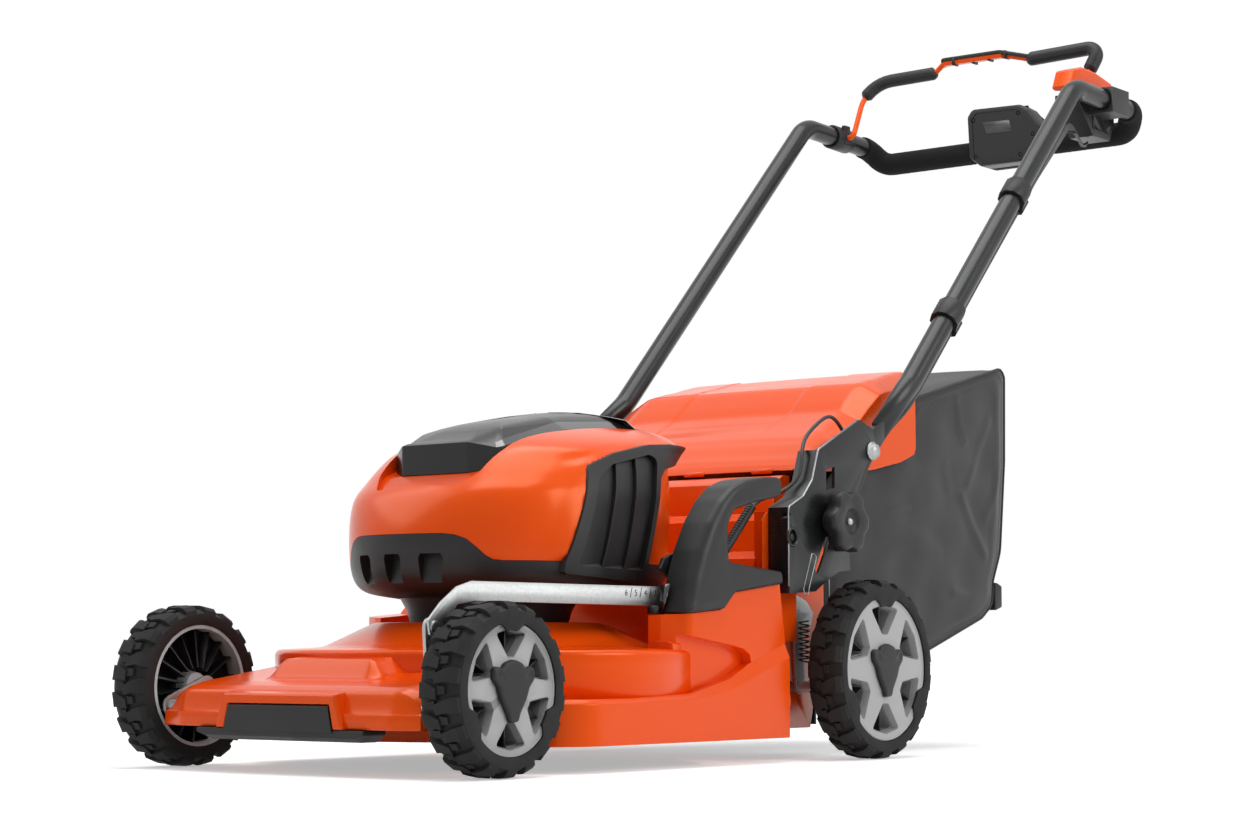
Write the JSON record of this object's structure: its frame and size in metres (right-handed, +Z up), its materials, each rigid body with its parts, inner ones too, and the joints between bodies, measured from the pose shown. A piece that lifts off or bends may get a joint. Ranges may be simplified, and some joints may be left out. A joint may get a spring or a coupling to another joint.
{
  "type": "cordless lawn mower",
  "caption": "Walk-behind cordless rotary mower with a pressed deck, hooded motor, cranked axles set by one height handle, folding tube handle with bail, and a rear bag.",
  "frame": {"origin": "on the ground, under the middle of the bounding box of the whole machine with its bag and handle", "axes": "+Z up, -Y the way the machine drives, +X towards its left side"},
  "size_m": [0.5816, 1.5107, 1.0101],
  "materials": {
    "deck_paint": "gloss",
    "orange_plastic": "gloss",
    "black_plastic": "satin",
    "black_paint": "satin",
    "tyre": "matte",
    "rim_plastic": "satin",
    "foam": "matte",
    "cable_sheath": "matte",
    "zinc": "bright zinc plated",
    "steel": "plain",
    "motor_alloy": "cast",
    "bag_fabric": "woven"
  },
  "bodies": {
    "machine": {"deck_shell": "deck_paint", "front_bumper": "black_plastic", "motor_base": "black_plastic", "motor_hood": "orange_plastic", "grille_left": "black_plastic", "grille_right": "black_plastic", "battery": "black_plastic", "motor": "motor_alloy", "height_handle": "black_plastic", "bracket_left": "black_paint", "bracket_right": "black_paint", "pivot_bolt_left": "zinc", "pivot_bolt_right": "zinc", "body_cable": "cable_sheath", "cable_sleeve": "cable_sheath", "assist_spring": "zinc"},
    "front_axle_body": {"front_axle": "zinc"},
    "rear_axle_body": {"rear_axle": "zinc"},
    "height_bar_body": {"height_bar": "zinc"},
    "handle": {"handle_tube": "black_paint", "foam_grip_left": "foam", "foam_grip_right": "foam", "control_box": "black_plastic", "control_panel": "black_plastic", "switch_box": "black_plastic", "bail_clamp": "black_plastic", "cable_clip_upper": "black_plastic", "cable_clip_lower": "black_plastic", "handle_cable": "cable_sheath"},
    "bail": {"bail_core": "orange_plastic", "bail_cover": "black_plastic"},
    "start_lever_body": {"start_lever": "orange_plastic"},
    "power_button_body": {"power_button": "black_plastic"},
    "drive_button_body": {"drive_button": "black_plastic"},
    "latch": {"height_latch": "zinc"},
    "lid": {"battery_lid": "black_plastic"},
    "flap": {"rear_flap": "black_plastic"},
    "guard": {"rear_guard": "black_plastic"},
    "bag": {"grass_bag": "bag_fabric", "bag_frame": "zinc", "bag_handle": "black_plastic"},
    "blade_body": {"motor_shaft": "steel", "blade": "black_paint", "blade_bolt": "zinc"},
    "wheel_front_left": {"tyre_front_left": "tyre", "rim_front_left": "rim_plastic", "hub_cap_front_left": "black_plastic"},
    "wheel_rear_left": {"tyre_rear_left": "tyre", "rim_rear_left": "rim_plastic", "hub_cap_rear_left": "black_plastic"},
    "clamp_bolt_left": {"knob_bolt_left": "zinc"},
    "clamp_knob_left": {"knob_left": "black_plastic"},
    "wheel_front_right": {"tyre_front_right": "tyre", "rim_front_right": "rim_plastic", "hub_cap_front_right": "black_plastic"},
    "wheel_rear_right": {"tyre_rear_right": "tyre", "rim_rear_right": "rim_plastic", "hub_cap_rear_right": "black_plastic"},
    "clamp_bolt_right": {"knob_bolt_right": "zinc"},
    "clamp_knob_right": {"knob_right": "black_plastic"}
  },
  "joints": [
    {"name": "height_adjust", "type": "hinge", "parent": "machine", "child": "front_axle_body", "pos_m": [0, -0.718, 0.067], "axis": [-1, 0, 0], "range_deg": [-8, 50]},
    {"name": "rear_height", "type": "hinge", "parent": "machine", "child": "rear_axle_body", "pos_m": [0, -0.095, 0.0835], "axis": [-1, 0, 0], "range_deg": [-8, 50]},
    {"name": "bar_pivot", "type": "hinge", "parent": "front_axle_body", "child": "height_bar_body", "pos_m": [0.192, -0.724, 0.149], "axis": [-1, 0, 0], "range_deg": [-50, 8]},
    {"name": "handle_fold", "type": "hinge", "parent": "machine", "child": "handle", "pos_m": [0, -0.007, 0.362], "axis": [1, 0, 0], "range_deg": [0, 120]},
    {"name": "bail_squeeze", "type": "hinge", "parent": "handle", "child": "bail", "pos_m": [0, 0.638, 0.896], "axis": [-1, 0, 0], "range_deg": [0, 35], "stiffness_Nm_per_rad": 0.8, "springref_deg": -34.38},
    {"name": "start_press", "type": "hinge", "parent": "handle", "child": "start_lever_body", "pos_m": [0.168, 0.703, 0.931], "axis": [1, 0, 0], "range_deg": [0, 2.5], "stiffness_Nm_per_rad": 6, "springref_deg": -3.44},
    {"name": "power_press", "type": "slide", "parent": "handle", "child": "power_button_body", "axis": [0, -0.7071, -0.7071], "range_m": [0, 0.002], "stiffness_N_per_m": 400, "springref_m": -0.001},
    {"name": "drive_press", "type": "slide", "parent": "handle", "child": "drive_button_body", "axis": [0, -0.7071, -0.7071], "range_m": [0, 0.002], "stiffness_N_per_m": 400, "springref_m": -0.001},
    {"name": "latch_squeeze", "type": "hinge", "parent": "machine", "child": "latch", "pos_m": [0.1985, -0.318, 0.232], "axis": [1, 0, 0], "range_deg": [0, 8], "stiffness_Nm_per_rad": 1, "springref_deg": -8.59},
    {"name": "lid_open", "type": "hinge", "parent": "machine", "child": "lid", "pos_m": [0, -0.253, 0.3975], "axis": [-1, 0, 0], "range_deg": [0, 75]},
    {"name": "flap_lift", "type": "hinge", "parent": "machine", "child": "flap", "pos_m": [0, -0.103, 0.338], "axis": [1, 0, 0], "range_deg": [0, 60], "stiffness_Nm_per_rad": 0.6, "springref_deg": -28.65},
    {"name": "guard_swing", "type": "hinge", "parent": "machine", "child": "guard", "pos_m": [0, -0.032, 0.138], "axis": [1, 0, 0], "range_deg": [0, 45]},
    {"name": "bag_pull", "type": "slide", "parent": "machine", "child": "bag", "axis": [0, 1, 0], "range_m": [0, 0.25]},
    {"name": "blade_spin", "type": "hinge", "parent": "machine", "child": "blade_body", "pos_m": [0, -0.418, 0.1], "axis": [0, 0, 1], "continuous": true},
    {"name": "roll_front_left", "type": "hinge", "parent": "front_axle_body", "child": "wheel_front_left", "pos_m": [0.2235, -0.668, 0.0875], "axis": [1, 0, 0], "continuous": true},
    {"name": "roll_rear_left", "type": "hinge", "parent": "rear_axle_body", "child": "wheel_rear_left", "pos_m": [0.2647, -0.045, 0.104], "axis": [1, 0, 0], "continuous": true},
    {"name": "clamp_slide_left", "type": "slide", "parent": "machine", "child": "clamp_bolt_left", "axis": [0, -0.5225, -0.8526], "range_m": [0, 0.03]},
    {"name": "knob_turn_left", "type": "hinge", "parent": "clamp_bolt_left", "child": "clamp_knob_left", "pos_m": [0.2446, -0.09, 0.274], "axis": [1, 0, 0], "continuous": true},
    {"name": "roll_front_right", "type": "hinge", "parent": "front_axle_body", "child": "wheel_front_right", "pos_m": [-0.2235, -0.668, 0.0875], "axis": [1, 0, 0], "continuous": true},
    {"name": "roll_rear_right", "type": "hinge", "parent": "rear_axle_body", "child": "wheel_rear_right", "pos_m": [-0.2647, -0.045, 0.104], "axis": [1, 0, 0], "continuous": true},
    {"name": "clamp_slide_right", "type": "slide", "parent": "machine", "child": "clamp_bolt_right", "axis": [0, -0.5225, -0.8526], "range_m": [0, 0.03]},
    {"name": "knob_turn_right", "type": "hinge", "parent": "clamp_bolt_right", "child": "clamp_knob_right", "pos_m": [-0.2446, -0.09, 0.274], "axis": [1, 0, 0], "continuous": true}
  ],
  "couplings": [
    {"joint": "rear_height", "follows": "height_adjust", "ratio": 1},
    {"joint": "bar_pivot", "follows": "height_adjust", "ratio": -1}
  ]
}
